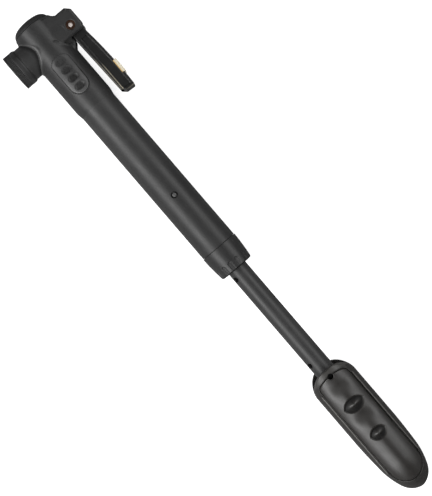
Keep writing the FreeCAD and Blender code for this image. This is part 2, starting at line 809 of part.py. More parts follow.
def make_handle_fixings():
    """What holds the rod in the shells and the shells together, and the end buffer."""
    lay(anchor_pin_body("rod_anchor_pin"))
    lay(ring("stop_bumper", size.handle_floor - 2.9, size.handle_floor,
             size.rod_radius + 0.2, size.handle_bore - 0.3))
    for name, side in (("lever_side", 1), ("valve_side", -1)):
        centre = (SCREW_ALONG, SCREW_SIDE * side)
        screw = rod_along_z(f"handle_screw_{name}", centre, SCREW_RADIUS, SCREW_SEAT, SCREW_END)
        head = new_sketch(screw, "XY_Plane", (0, 0, SCREW_SEAT))
        draw_circle(head, centre, SCREW_HEAD_RADIUS)
        extrude(screw, head, SCREW_HEAD_HEIGHT, both_ways=False, backwards=True)
        lay(screw)


# ---------------------------------------------------------------- build

def check():
    """Stop before anything is written if the document holds a failed object."""
    DOCUMENT.recompute()
    for item in DOCUMENT.Objects:
        if "Invalid" in item.State or "Error" in item.State:
            raise RuntimeError(f"{item.Label} failed: {item.State}")
    for solid in SUB_PARTS:
        if solid.Shape.isNull() or not solid.Shape.isValid() or not solid.Shape.Solids:
            raise RuntimeError(f"{solid.Label} has no valid solid")


def write():
    os.makedirs("parts", exist_ok=True)
    for solid in SUB_PARTS:
        solid.Shape.exportStep(f"parts/{solid.Label}.step")


make_head_body()
make_head_cap()
make_head_badge()
make_plunger()
make_core_depressor()
make_grommet()
make_valve_cap()
make_check_valve()
make_lever()
make_lever_pin()
make_barrel()
make_catch_pin()
make_collar()
make_piston()
make_rod()
make_handle()
make_handle_fixings()
check()
write()
print(len(SUB_PARTS), "sub-parts")
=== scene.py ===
import json
import math

import bmesh
import bpy
import numpy as np
from mathutils import Matrix, Vector


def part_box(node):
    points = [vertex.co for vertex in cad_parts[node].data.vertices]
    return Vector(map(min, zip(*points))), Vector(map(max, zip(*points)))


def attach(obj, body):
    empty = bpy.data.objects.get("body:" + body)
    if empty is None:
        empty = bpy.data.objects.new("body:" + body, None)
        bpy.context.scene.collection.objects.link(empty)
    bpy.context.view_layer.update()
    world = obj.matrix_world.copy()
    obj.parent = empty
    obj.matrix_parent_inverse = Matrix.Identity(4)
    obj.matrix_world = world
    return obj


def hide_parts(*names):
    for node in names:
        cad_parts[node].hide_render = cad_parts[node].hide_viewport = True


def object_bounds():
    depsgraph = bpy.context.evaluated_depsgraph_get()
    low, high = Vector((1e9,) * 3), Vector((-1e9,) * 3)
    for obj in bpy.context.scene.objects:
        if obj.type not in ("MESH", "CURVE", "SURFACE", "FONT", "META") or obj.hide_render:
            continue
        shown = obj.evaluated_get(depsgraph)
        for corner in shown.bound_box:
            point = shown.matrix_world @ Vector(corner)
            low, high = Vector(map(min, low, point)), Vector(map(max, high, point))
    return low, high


# The looks of the hand pump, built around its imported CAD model.
#
# Shapes are drawn in millimetres about the pump's own axis: s runs from the head cap's
# top to the handle's tip, y towards the lever, z to the front.  ROW then lays them in the
# row frame, in metres.  The valve port has an axis of its own: w runs from the pump's
# axis to the port's mouth, towards -y.

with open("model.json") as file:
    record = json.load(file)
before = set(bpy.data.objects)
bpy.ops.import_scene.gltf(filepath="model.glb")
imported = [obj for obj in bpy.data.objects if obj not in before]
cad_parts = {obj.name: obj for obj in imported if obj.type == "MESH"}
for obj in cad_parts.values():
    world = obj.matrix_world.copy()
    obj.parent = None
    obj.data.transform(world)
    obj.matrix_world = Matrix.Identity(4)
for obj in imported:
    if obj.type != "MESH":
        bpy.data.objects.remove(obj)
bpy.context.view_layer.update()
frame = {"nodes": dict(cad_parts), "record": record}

MM = 0.001
HEAD_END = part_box("head_cap")[0].x
AXIS = (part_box("barrel_tube")[0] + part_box("barrel_tube")[1]) / 2
ROW = Matrix.Translation((HEAD_END, AXIS.y, AXIS.z)) @ Matrix.Scale(MM, 4)

# Places along and beside the axis, and the radii that more than one piece shares.
PORT_ALONG = 17.9
PIN_ALONG, PIN_SIDE = 19.2, 19.0
CATCH_ALONG = 136.2
TIP = 366.0
SLEEVE = 12.75
SOCKET = 11.2
BARREL = 12.0
BARREL_BORE = 9.5
BOSS = 10.85
BOSS_END = 17.1
ROD = 6.4
PIN = 1.5
BUSH = 2.9
FRONT, REAR = 1, -1


# ---------------------------------------------------------------- curves in the plane

class Via(tuple):
    """A point that an outline's arc passes through, between its two neighbours."""


def arc_points(start, middle, end, count=8):
    """Points on the arc from start to end through middle, without its start."""
    (ax, ay), (bx, by), (cx, cy) = start, middle, end
    d = 2 * (ax * (by - cy) + bx * (cy - ay) + cx * (ay - by))
    a2, b2, c2 = ax * ax + ay * ay, bx * bx + by * by, cx * cx + cy * cy
    ox = (a2 * (by - cy) + b2 * (cy - ay) + c2 * (ay - by)) / d
    oy = (a2 * (cx - bx) + b2 * (ax - cx) + c2 * (bx - ax)) / d
    radius = math.hypot(ax - ox, ay - oy)
    angles = [math.atan2(py - oy, px - ox) for px, py in (start, middle, end)]
    turn = (angles[2] - angles[0]) % math.tau
    if (angles[1] - angles[0]) % math.tau > turn:
        turn -= math.tau
    steps = [angles[0] + turn * (k + 1) / count for k in range(count)]
    return [(ox + radius * math.cos(a), oy + radius * math.sin(a)) for a in steps]


def outline(points):
    """A closed outline as a list of points, with its arcs divided."""
    result = []
    for index, point in enumerate(points):
        if isinstance(point, Via):
            result += arc_points(points[index - 1], point, points[(index + 1) % len(points)])[:-1]
        else:
            result.append(point)
    return result


def rounded(points, default=0.25, steps=4):
    """A closed profile with its corners rounded; a point may carry its own radius."""
    result = []
    for index, point in enumerate(points):
        here = np.array(point[:2], float)
        before = np.array(points[index - 1][:2], float) - here
        after = np.array(points[(index + 1) % len(points)][:2], float) - here
        radius = point[2] if len(point) > 2 else default
        lengths = np.linalg.norm(before), np.linalg.norm(after)
        before, after = before / lengths[0], after / lengths[1]
        half = math.acos(float(np.clip(before @ after, -1, 1))) / 2
        if radius <= 0 or half > 1.5 or here[1] == 0:
            result.append(tuple(here))
            continue
        reach = min(radius / math.tan(half), 0.45 * min(lengths))
        p, q = here + before * reach, here + after * reach
        for k in range(steps + 1):
            t = k / steps
            result.append(tuple((1 - t) ** 2 * p + 2 * t * (1 - t) * here + t * t * q))
    return result


# ---------------------------------------------------------------- distance fields

def union(a, b, r=0.4):
    """Join two fields with a fillet of radius r."""
    return np.maximum(r, np.minimum(a, b)) - np.hypot(np.maximum(r - a, 0), np.maximum(r - b, 0))


def common(a, b, r=0.4):
    """What two fields share, with the edge between them rounded by r."""
    return np.minimum(-r, np.maximum(a, b)) + np.hypot(np.maximum(r + a, 0), np.maximum(r + b, 0))


def cut(a, b, r=0.25):
    """Field a without field b, with its new edges rounded by r."""
    return common(a, -b, r)


def between(x, low, high):
    """The slab from low to high, as a field."""
    return np.maximum(low - x, x - high)


def ramp(x, low, high):
    """A smooth step from 0 at low to 1 at high."""
    t = np.clip((x - low) / (high - low), 0, 1)
    return t * t * (3 - 2 * t)


def polygon(points, x, y):
    """Signed distance to a closed outline, negative inside."""
    nearest = np.full(np.broadcast(x, y).shape, 1e9, np.float32)
    crossings = np.zeros(nearest.shape, bool)
    for (ax, ay), (bx, by) in zip(points, points[1:] + points[:1]):
        ex, ey = bx - ax, by - ay
        t = np.clip(((x - ax) * ex + (y - ay) * ey) / (ex * ex + ey * ey), 0, 1)
        nearest = np.minimum(nearest, (x - ax - t * ex) ** 2 + (y - ay - t * ey) ** 2)
        if ey != 0:
            spans = (y < max(ay, by)) & (y >= min(ay, by))
            crossings ^= spans & (x < ax + (y - ay) / ey * ex)
    return np.where(crossings, -1, 1) * np.sqrt(nearest)


# ---------------------------------------------------------------- meshes

def new_object(name, points, faces):
    """An object in the scene with a mesh of its own."""
    mesh = bpy.data.meshes.new(name)
    mesh.from_pydata(points, [], faces)
    mesh.update()
    made = bpy.data.objects.new(name, mesh)
    bpy.context.scene.collection.objects.link(made)
    return made


def skin(name, field, low, high, step):
    """Mesh the zero surface of a field over a box, as a closed net of small quads."""
    counts = [int(math.ceil((b - a) / step)) for a, b in zip(low, high)]
    lines = [a + step * np.arange(n + 1) for a, n in zip(low, counts)]
    open_grid = np.meshgrid(*lines, indexing="ij", sparse=True)
    value = np.broadcast_to(field(*open_grid), [n + 1 for n in counts]).astype(np.float32)
    inside = value < 0
    total = np.zeros((3, int(np.prod(counts))))
    number = np.zeros(int(np.prod(counts)))
    quads = []
    for axis in range(3):
        quads += net_edges(value, inside, axis, counts, total, number)
    used = np.nonzero(number)[0]
    order = np.full(number.size, -1)
    order[used] = np.arange(used.size)
    points = (total[:, used] / number[used]).T * step + np.array(low)
    faces = order[np.concatenate(quads)]
    return new_object(name, points.tolist(), faces.tolist())


def net_edges(value, inside, axis, counts, total, number):
    """Add the crossings of the grid's edges along one axis to the cells around them."""
    first = [slice(None)] * 3
    second = [slice(None)] * 3
    first[axis], second[axis] = slice(0, -1), slice(1, None)
    first, second = tuple(first), tuple(second)
    where = np.argwhere(inside[first] != inside[second])
    b, c = (axis + 1) % 3, (axis + 2) % 3
    above_low = (where[:, b] > 0) & (where[:, c] > 0)
    below_high = (where[:, b] < counts[b]) & (where[:, c] < counts[c])
    where = where[above_low & below_high]
    low_value = value[first][tuple(where.T)]
    high_value = value[second][tuple(where.T)]
    place = where.astype(float)
    place[:, axis] += low_value / (low_value - high_value)
    corners = []
    for shift_b, shift_c in ((-1, -1), (0, -1), (0, 0), (-1, 0)):
        cell = where.copy()
        cell[:, b] += shift_b
        cell[:, c] += shift_c
        flat = np.ravel_multi_index(tuple(cell.T), counts)
        for k in range(3):
            total[k] += np.bincount(flat, place[:, k], number.size)
        number += np.bincount(flat, minlength=number.size)
        corners.append(flat)
    quad = np.stack(corners, 1)
    outward = inside[first][tuple(where.T)]
    return [quad[outward], quad[~outward][:, ::-1]]


def lathe(name, profile, around=128):
    """Turn a closed profile of (along, radius) points about the X axis."""
    points, faces, rings = [], [], []
    for along, radius in profile:
        if radius < 1e-6:
            rings.append([len(points)])
            points.append((along, 0, 0))
            continue
        rings.append(list(range(len(points), len(points) + around)))
        for k in range(around):
            angle = math.tau * k / around
            points.append((along, radius * math.cos(angle), radius * math.sin(angle)))
    for one, two in zip(rings, rings[1:] + rings[:1]):
        if len(one) == 1 and len(two) == 1:
            continue
        for k in range(around):
            corners = [one[k % len(one)], one[(k + 1) % len(one)],
                       two[(k + 1) % len(two)], two[k % len(two)]]
            faces.append(tuple(dict.fromkeys(corners)))
    made = new_object(name, points, faces)
    fix_normals(made)
    return made


def fix_normals(item):
    """Turn every face of a closed mesh outwards."""
    work = bmesh.new()
    work.from_mesh(item.data)
    bmesh.ops.recalc_face_normals(work, faces=work.faces)
    work.to_mesh(item.data)
    work.free()


def subtract(item, tool):
    """Cut one closed mesh from another, and drop the tool."""
    modifier = item.modifiers.new("cut", "BOOLEAN")
    modifier.operation = "DIFFERENCE"
    modifier.solver = "EXACT"
    modifier.object = tool
    bpy.context.view_layer.update()
    graph = bpy.context.evaluated_depsgraph_get()
    item.data = bpy.data.meshes.new_from_object(item.evaluated_get(graph))
    item.modifiers.clear()
    bpy.data.objects.remove(tool)


def move(item, matrix):
    """Move the points of a piece's mesh; the object itself stays at the origin."""
    item.data.transform(matrix)
    return item


TO_PORT = Matrix.Translation((PORT_ALONG, 0, 0)) @ Matrix.Rotation(math.radians(-90), 4, "Z")
TO_FRONT = Matrix.Rotation(math.radians(-90), 4, "Y")


def mark_surface(item, marks):
    """Store each point's painted light, from marks: 0 plain, up to 1 painted shade, down to -1
    painted highlight.

    The stored value runs from 0, painted highlight, through 0.5, plain, to 1, painted shade.
    """
    place = np.empty(len(item.data.vertices) * 3)
    item.data.vertices.foreach_get("co", place)
    s, y, z = place.reshape(-1, 3).T
    values = np.clip(0.5 + marks(s, y, z) / 2, 0, 1)
    stored = item.data.attributes.new("marks", "FLOAT", "POINT")
    stored.data.foreach_set("value", values.astype(np.float32))


def line_mark(distance, width):
    """1 on a line, fading to 0 beside it."""
    return np.exp(-(distance / width) ** 2)


def finish_piece(item, body, material, nodes, sharp=38):
    """Lay a piece in the row frame, give it its body and material, and hide the CAD nodes it
    stands in for.
    """
    item.data.transform(ROW)
    for face in item.data.polygons:
        face.use_smooth = True
    item.data.set_sharp_from_angle(angle=math.radians(sharp))
    item.data.materials.clear()
    item.data.materials.append(material)
    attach(item, body)
    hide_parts(*nodes)
    return item


# ---------------------------------------------------------------- materials

def add(tree, kind, **inputs):
    """A node with its inputs set by name; a value that is a socket is linked."""
    node = tree.nodes.new(kind)
    for name, value in inputs.items():
        socket = node.inputs[int(name[1:]) if name[0] == "_" else name.replace("_", " ")]
        if isinstance(value, bpy.types.NodeSocket):
            tree.links.new(value, socket)
        else:
            socket.default_value = value
    return node


def new_material(name):
    """A material with a shader, its output and the piece's own coordinates."""
    material = bpy.data.materials.new(name)
    material.use_nodes = True
    tree = material.node_tree
    tree.nodes.clear()
    shader = tree.nodes.new("ShaderNodeBsdfPrincipled")
    output = tree.nodes.new("ShaderNodeOutputMaterial")
    tree.links.new(shader.outputs[0], output.inputs[0])
    place = tree.nodes.new("ShaderNodeTexCoord").outputs["Object"]
    return material, tree, shader, place


def ramp_node(tree, value, stops):
    """A colour ramp with (place, grey or colour) stops."""
    node = add(tree, "ShaderNodeValToRGB", Fac=value)
    ramp_points = node.color_ramp.elements
    while len(ramp_points) < len(stops):
        ramp_points.new(0.5)
    for point, (place, colour) in zip(ramp_points, stops):
        point.position = place
        point.color = (colour,) * 3 + (1,) if isinstance(colour, float) else tuple(colour) + (1,)
    return node.outputs[0]


def blend_colours(tree, share, one, two):
    """A mix from one to two; each of the three may be a socket or a value."""
    node = tree.nodes.new("ShaderNodeMix")
    node.data_type = "RGBA"
    for socket, value in ((node.inputs[0], share), (node.inputs[6], one), (node.inputs[7], two)):
        if isinstance(value, bpy.types.NodeSocket):
            tree.links.new(value, socket)
        else:
            socket.default_value = value
    return node.outputs[2]


def rgb(grey, warm=0.0):
    """A near-grey linear colour; warm tints it towards brown."""
    return (grey * (1 + warm), grey, grey * (1 - warm), 1)


# Painted light from the marks: above the first range the colour darkens into painted shade in
# hollows, grooves and on the boss's foot; below the second it pales into painted highlights on
# edges, lines and beads.
PAINTED_SHADE_RANGE = (0.55, 0.9)
PAINTED_HIGHLIGHT_RANGE = (0.1, 0.45)
PAINTED_SHADE_TONE = 0.28
PAINTED_SHADE_ROUGHNESS = 0.65
PAINTED_SHADE_SHINE = 0.10
PAINTED_HIGHLIGHT_ROUGHNESS = 0.28


def marked(tree, base, rough, grey, painted_highlight_colour, specular):
    """Painted shade and painted highlights from a mesh's marks, laid over its tone, roughness and
    gloss.
    """
    mark = tree.nodes.new("ShaderNodeAttribute")
    mark.attribute_name = "marks"
    # Painted shade: darker, rougher and less glossy where the marks run high; painted highlight:
    # paler and smoother where they run low.
    painted_shade = ramp_node(tree, mark.outputs["Fac"], [(PAINTED_SHADE_RANGE[0], 0.0), (PAINTED_SHADE_RANGE[1], 1.0)])
    painted_highlight = ramp_node(tree, mark.outputs["Fac"], [(PAINTED_HIGHLIGHT_RANGE[0], 1.0), (PAINTED_HIGHLIGHT_RANGE[1], 0.0)])
    base = blend_colours(tree, painted_shade, base, rgb(grey * PAINTED_SHADE_TONE))
    base = blend_colours(tree, painted_highlight, base, (*painted_highlight_colour, 1))
    rough = blend_colours(tree, painted_shade, rough, rgb(PAINTED_SHADE_ROUGHNESS))
    rough = blend_colours(tree, painted_highlight, rough, rgb(PAINTED_HIGHLIGHT_ROUGHNESS))
    shine = ramp_node(tree, mark.outputs["Fac"], [(PAINTED_SHADE_RANGE[0], specular), (PAINTED_SHADE_RANGE[1], PAINTED_SHADE_SHINE)])
    return base, rough, shine


def moulded(name, grey, roughness, grain=2200.0, depth=0.00005, specular=0.5, edge_wear_and_highlight_level=0.5,
            warm=0.0, mottle=0.16, painted_highlight_colour=None):
    """Moulded plastic or rubber: fine grain, slow drift of tone, paler convex edges that are
    partly wear and partly painted highlight, painted shade in concave creases, and, given a
    highlight colour, painted shade and highlights from the mesh's marks.
    """
    material, tree, shader, place = new_material(name)
    slow = add(tree, "ShaderNodeTexNoise", Vector=place, Scale=70.0, Detail=4.0, Roughness=0.6)
    fine = add(tree, "ShaderNodeTexNoise", Vector=place, Scale=grain, Detail=3.0, Roughness=0.65)
    tone = ramp_node(tree, slow.outputs[0], [
        (0.3, rgb(grey * (1 - mottle), warm)[:3]), (0.7, rgb(grey * (1 + mottle), warm)[:3])])
    speck = ramp_node(tree, fine.outputs[0], [
        (0.35, rgb(grey * 0.8, warm)[:3]), (0.65, rgb(grey * 1.25, warm)[:3])])
    base = blend_colours(tree, 0.4, tone, speck)
    edges = tree.nodes.new("ShaderNodeNewGeometry").outputs["Pointiness"]
    # Convex edges turn paler: partly wear, partly a painted highlight.
    edge_wear_and_highlight = ramp_node(tree, edges, [(0.52, 0.0), (0.60, edge_wear_and_highlight_level)])
    base = blend_colours(tree, edge_wear_and_highlight, base, rgb(grey * 2.2, warm))
    # Concave creases turn near-black: painted shade.
    deep = ramp_node(tree, edges, [(0.42, 0.75), (0.49, 0.0)])
    base = blend_colours(tree, deep, base, rgb(grey * 0.2, warm))
    rough = ramp_node(tree, slow.outputs[0], [
        (0.25, max(roughness - 0.06, 0.02)), (0.75, min(roughness + 0.06, 1.0))])
    shader.inputs["Specular IOR Level"].default_value = specular
    if painted_highlight_colour:
        base, rough, shine = marked(tree, base, rough, grey, painted_highlight_colour, specular)
        tree.links.new(shine, shader.inputs["Specular IOR Level"])
    tree.links.new(base, shader.inputs["Base Color"])
    tree.links.new(rough, shader.inputs["Roughness"])
    bump = add(tree, "ShaderNodeBump", Height=fine.outputs[0], Distance=depth, Strength=1.0)
    tree.links.new(bump.outputs[0], shader.inputs["Normal"])
    return material


def metal(name, colour, roughness, metallic=1.0):
    """Turned metal: fine scratches in its gloss, slight tarnish in its tone."""
    material, tree, shader, place = new_material(name)
    lines = add(tree, "ShaderNodeTexNoise", Vector=place, Scale=900.0, Detail=5.0)
    slow = add(tree, "ShaderNodeTexNoise", Vector=place, Scale=260.0, Detail=2.0)
    dull = tuple(c * 0.72 for c in colour)
    base = ramp_node(tree, slow.outputs[0], [(0.3, dull), (0.6, colour)])
    tree.links.new(base, shader.inputs["Base Color"])
    rough = ramp_node(tree, lines.outputs[0], [(0.3, roughness * 0.7), (0.7, roughness * 1.3)])
    tree.links.new(rough, shader.inputs["Roughness"])
    bump = add(tree, "ShaderNodeBump", Height=lines.outputs[0], Distance=0.00001, Strength=0.6)
    tree.links.new(bump.outputs[0], shader.inputs["Normal"])
    shader.inputs["Metallic"].default_value = metallic
    return material


def foil(name):
    """The lever's plate: cream, with gold foil along its foot."""
    material, tree, shader, place = new_material(name)
    along = add(tree, "ShaderNodeSeparateXYZ", Vector=place).outputs[1]
    low = AXIS.y + 24.7 * MM
    share = add(tree, "ShaderNodeMapRange", Value=along, From_Min=low, From_Max=low + 0.4 * MM)
    band = ramp_node(tree, share.outputs[0], [(0.0, 1.0), (1.0, 0.0)])
    fine = add(tree, "ShaderNodeTexNoise", Vector=place, Scale=1400.0, Detail=3.0)
    cream = ramp_node(tree, fine.outputs[0], [
        (0.3, (0.80, 0.72, 0.55)), (0.7, (0.92, 0.86, 0.70))])
    gold = ramp_node(tree, fine.outputs[0], [
        (0.3, (0.62, 0.40, 0.14)), (0.7, (0.80, 0.56, 0.24))])
    tree.links.new(blend_colours(tree, band, cream, gold), shader.inputs["Base Color"])
    rough = ramp_node(tree, fine.outputs[0], [(0.3, 0.26), (0.7, 0.42)])
    tree.links.new(rough, shader.inputs["Roughness"])
    bump = add(tree, "ShaderNodeBump", Height=fine.outputs[0], Distance=0.00002, Strength=0.5)
    tree.links.new(bump.outputs[0], shader.inputs["Normal"])
    return material


def make_materials():
    return {
        # A material given a highlight colour paints highlights in that colour, and painted shade,
        # from its mesh's marks.
        "head_plastic": moulded("head_plastic", 0.034, 0.45, painted_highlight_colour=(0.10, 0.10, 0.10)),
        "head_plate": moulded("head_plate", 0.042, 0.42, painted_highlight_colour=(0.14, 0.14, 0.14)),
        "cap_plastic": moulded("cap_plastic", 0.022, 0.55, grain=2600.0, depth=0.00006),
        "valve_cap_plastic": moulded("valve_cap_plastic", 0.029, 0.50, grain=2600.0),
        "lever_plastic": moulded("lever_plastic", 0.017, 0.36, grain=2600.0, depth=0.00003,
                                 painted_highlight_colour=(0.42, 0.38, 0.29)),
        "label_plastic": foil("label_plastic"),
        "barrel_plastic": moulded("barrel_plastic", 0.032, 0.45),
        "collar_plastic": moulded("collar_plastic", 0.030, 0.42, painted_highlight_colour=(0.09, 0.09, 0.09)),
        "rod_plastic": moulded("rod_plastic", 0.042, 0.46, depth=0.00003),
        "catch_plastic": moulded("catch_plastic", 0.10, 0.35, edge_wear_and_highlight_level=0.8),
        "handle_plastic": moulded("handle_plastic", 0.032, 0.44, warm=0.05,
                                  painted_highlight_colour=(0.155, 0.15, 0.14)),
        "grip_rubber": moulded("grip_rubber", 0.026, 0.44, grain=3000.0, depth=0.00002,
                               specular=0.8, edge_wear_and_highlight_level=0.2, warm=0.08, mottle=0.1,
                               painted_highlight_colour=(0.10, 0.10, 0.10)),
        "seal_rubber": moulded("seal_rubber", 0.016, 0.70, edge_wear_and_highlight_level=0.1),
        "pin_steel": metal("pin_steel", (0.80, 0.72, 0.68), 0.46, metallic=0.3),
        "bush_bronze": metal("bush_bronze", (0.09, 0.05, 0.035), 0.55),
        "screw_steel": metal("screw_steel", (0.55, 0.55, 0.56), 0.32),
        "valve_white": moulded("valve_white", 0.62, 0.42, edge_wear_and_highlight_level=0.0, mottle=0.04),
        "washer_plastic": moulded("washer_plastic", 0.10, 0.45, edge_wear_and_highlight_level=0.2),
    }


# ---------------------------------------------------------------- head

# Where the plate on the head starts and ends, and half its width.
BADGE = (28.5, 55.3, 6.2)


def stadium(s, y, margin=0.0):
    """The badge's outline: blunt at its top, round at its bottom."""
    start, end, half = BADGE
    shape = outline([
        (start + half * 0.5, -half), Via((start, 0)), (start + half * 0.5, half),
        (end - half, half), Via((end, 0)), (end - half, -half)])
    return polygon(shape, s, y) - margin


def head_outside(s, y, z):
    """Sleeve, port boss, lever block and the web under it, run into each other."""
    r = np.hypot(y, z)
    radius = np.interp(s, [60.5, 62.0, 63.5, 65.4, 66.2], [SLEEVE, 12.6, 12.35, 12.02, 11.8])
    sleeve = common(r - radius, between(s, 4.2, 66.2), 0.08)
    across = np.hypot(s - PORT_ALONG, z)
    boss = common(across - BOSS, between(y, -BOSS_END, 14.5), 0.05)
    block_shape = outline([
        (5.4, 0), (5.4, 12.3), (7.8, 14.1), (8.8, 15.6), (8.8, 22.4), (11.8, 25.4), (22.3, 25.4),
        (24.7, 24.0), (24.7, 0)])
    block = common(polygon(block_shape, s, y), np.abs(z) - 10.7, 1.7)
    web_shape = outline([(22, 6), (22, 15.4), (27.2, 15.4), (31.9, 11.9), (31.9, 6)])
    web = common(polygon(web_shape, s, y), np.abs(z) - 5.35, 0.9)
    solid = union(union(sleeve, boss, 0.6), union(block, web, 0.9), 0.8)
    solid = union(solid, boss_rim(across, y, r), 0.3)
    return union(solid, crease(s, y, z, r), 0.25)


def boss_rim(across, y, r):
    """The thin bead that runs around the foot of the port's boss."""
    bead = np.hypot(across - 11.5, r - SLEEVE) - 0.42
    return np.maximum(bead, y + 2.0)


def boss_foot(s, y, z):
    """Painted shade on the boss close to the sleeve, and a painted highlight along its bead."""
    across = np.hypot(s - PORT_ALONG, z)
    r = np.hypot(y, z)
    on_valve_side = ramp(-y, 2.0, 4.0) * (z > 0)
    # Both only on the valve side of the front: painted shade at the boss's foot, painted
    # highlight along the bead.
    painted_shade = (1 - ramp(r - SLEEVE, 0.3, 3.2)) * (across < 10.95) * on_valve_side
    painted_highlight = line_mark(across - 11.6, 0.3) * (r > SLEEVE + 0.15) * on_valve_side
    return 0.75 * painted_shade - 0.6 * painted_highlight * (across > 11.0)


def crease(s, y, z, r):
    """The thin rib that runs down the sleeve under the lever's block, front and back."""
    line = np.clip(5.2 + (s - 20.6) * 0.80, 0, 12.6)
    place = SLEEVE * np.arcsin(line / SLEEVE)
    here = SLEEVE * np.arctan2(y, np.abs(z))
    rib = np.hypot((here - place) * 0.72, r - SLEEVE - 0.05) - 0.5
    return common(rib, between(s, 20.4, 29.6), 0.5)


def port_thread(s, y, z):
    """The port's threaded end, for the valve cap."""
    turn = np.arctan2(z, s - PORT_ALONG) / math.tau
    wave = np.abs(((-y / 1.5 - turn) % 1.0) - 0.5) * 2
    across = np.hypot(s - PORT_ALONG, z)
    return common(across - 9.0 - 0.45 * ramp(wave, 0.15, 0.85), between(y, -23.2, -15.0), 0.35)


def cut_head(solid, s, y, z):
    """The bores, the lever's slot, the pin's hole and pockets, and the badge's recess."""
    r = np.hypot(y, z)
    across = np.hypot(s - PORT_ALONG, z)
    cap_socket = common(r - 8.0, s - 7.6, 0.2)
    air_way = common(r - 2.0, between(s, PORT_ALONG, 25.0), 0.1)
    valve_chamber = common(r - 5.0, between(s, 24.2, 31.0), 0.1)
    valve_seat = common(r - 6.0, between(s, 30.2, 33.0), 0.1)
    barrel_socket = common(r - SOCKET, 32.5 - s, 0.2)
    plunger_way = common(across - 4.0, between(y, -9.0, 13.0), 0.1)
    port_bore = common(across - 8.0, y + 7.2, 0.2)
    for bore in (cap_socket, air_way, valve_chamber, valve_seat, barrel_socket, plunger_way,
                 port_bore):
        solid = cut(solid, bore)
    slot = common(np.maximum(between(s, 11.6, 25.0), 11.5 - y), np.abs(z) - 6.3, 0.3)
    solid = cut(solid, slot, 0.3)
    about_pin = np.hypot(s - PIN_ALONG, y - PIN_SIDE)
    solid = cut(solid, about_pin - PIN)
    solid = cut(solid, common(about_pin - BUSH, 9.9 - np.abs(z), 0.1))
    recess = common(stadium(s, y, -0.06), np.maximum(12.25 - r, -z), 0.1)
    return cut(solid, recess, 0.04)


def head_field(s, y, z):
    solid = union(head_outside(s, y, z), port_thread(s, y, z), 0.2)
    return cut_head(solid, s, y, z)


def dimples(s, y):
    """How deep the plate's row of dimples goes at a place."""
    depth = 0
    for centre, deepest in ((32.6, 0.4), (38.4, 0.6), (44.6, 0.85), (50.6, 0.85)):
        oval = np.hypot((s - centre) / 2.6, y / 3.7)
        depth = depth + deepest * (1 - ramp(oval, 0.45, 1.05))
    return depth


def plate_marks(s, y, z):
    """Painted shade in the dimples; painted highlights on the ridges, the edge and the plate's
    round end.
    """
    # The painted highlights grow towards the plate's lower end and along its valve-side edge.
    lower = ramp(s, 36.0, 44.0)
    ridges = np.cos((s - 47.6) / 6.0 * math.tau) * line_mark(y, 2.6)
    edge = line_mark(stadium(s, y) + 0.4, 0.3) * (0.5 - 0.5 * np.tanh(y / 3.0))
    end = 0.25 * ramp(s, 40.0, 51.0)
    return 0.8 * dimples(s, y) - end - lower * (0.3 * np.maximum(ridges, 0) + 0.4 * edge)


def badge_field(s, y, z):
    """A plate that rises towards its round end, with a row of plain oval dimples."""
    r = np.hypot(y, z)
    edge = stadium(s, y)
    top = 12.78 + 0.55 * ramp(s, 32.0, 44.0) - dimples(s, y)
    plate = common(edge, r - top, 0.04 + 0.5 * ramp(s, 36.0, 46.0))
    return common(plate, np.maximum(12.27 - r, -z), 0.1)


def make_head(mats):
    """The head's moulding, the plate on its front and its end cap."""
    head = skin("head_moulding", head_field, (3.4, -24.0, -13.6), (67.0, 26.2, 13.6), step=0.39)
    mark_surface(head, boss_foot)
    finish_piece(head, "barrel", mats["head_plastic"], ["head_body"], sharp=60)
    badge = skin("head_plate", badge_field, (27.8, -6.8, 10.2), (56.0, 6.8, 13.8), step=0.17)
    mark_surface(badge, plate_marks)
    finish_piece(badge, "barrel", mats["head_plate"], ["head_badge"], sharp=60)
    cap = lathe("head_end_cap", rounded(outline([
        (0, 0), (0, 7.6), Via((1.4, 10.9)), (3.9, 12.3), (4.1, 12.0), (4.1, 8.0), (7.5, 8.0),
        (7.5, 0)]), 0.4))
    finish_piece(cap, "barrel", mats["cap_plastic"], ["head_cap"])


# ---------------------------------------------------------------- valve port

TEETH = 66


def valve_cap_field(w, a, b):
    """The cap about the port's axis: a ring of teeth, the bore and the valve's hole."""
    r = np.hypot(a, b)
    tooth = 0.5 + 0.5 * np.cos(TEETH * np.arctan2(b, a))
    depth = 0.34 * ramp(w, 20.4, 20.9) * (1 - ramp(w, 24.1, 24.6))
    radius = np.interp(w, [17.13, 18.3], [11.05, 11.6])
    body = common(r - radius + depth * tooth, between(w, 17.13, 25.2), 0.08)
    body = cut(body, common(r - 9.55, w - 23.5, 0.2), 0.2)
    hole = r - 4.45 - 0.6 * ramp(w, 24.5, 25.3)
    return cut(body, hole, 0.3)


def make_port(mats):
    """The knurled cap, the rubber it squeezes and the washer between them."""
    cap = skin("valve_cap_knurled", valve_cap_field, (17.0, -12.2, -12.2), (25.8, 12.2, 12.2),
               step=0.2)
    move(cap, TO_PORT)
    finish_piece(cap, "valve_cap", mats["valve_cap_plastic"], ["valve_cap"],
                 sharp=60)
    grommet = lathe("valve_rubber", rounded([
        (9.5, 4.6), (9.5, 7.7), (22.1, 7.7), (22.1, 3.95, 0.6), (17.0, 3.95), (17.0, 4.6)]),
        around=96)
    move(grommet, TO_PORT)
    finish_piece(grommet, "barrel", mats["seal_rubber"], ["valve_grommet"])
    washer = lathe("valve_washer", rounded([
        (22.15, 4.25), (22.15, 7.8), (23.1, 7.8), (23.1, 4.25)]), around=96)
    move(washer, TO_PORT)
    finish_piece(washer, "grommet_clamp", mats["washer_plastic"],
                 ["grommet_washer"])


# ---------------------------------------------------------------- lever

LEVER_TIP = 69.9


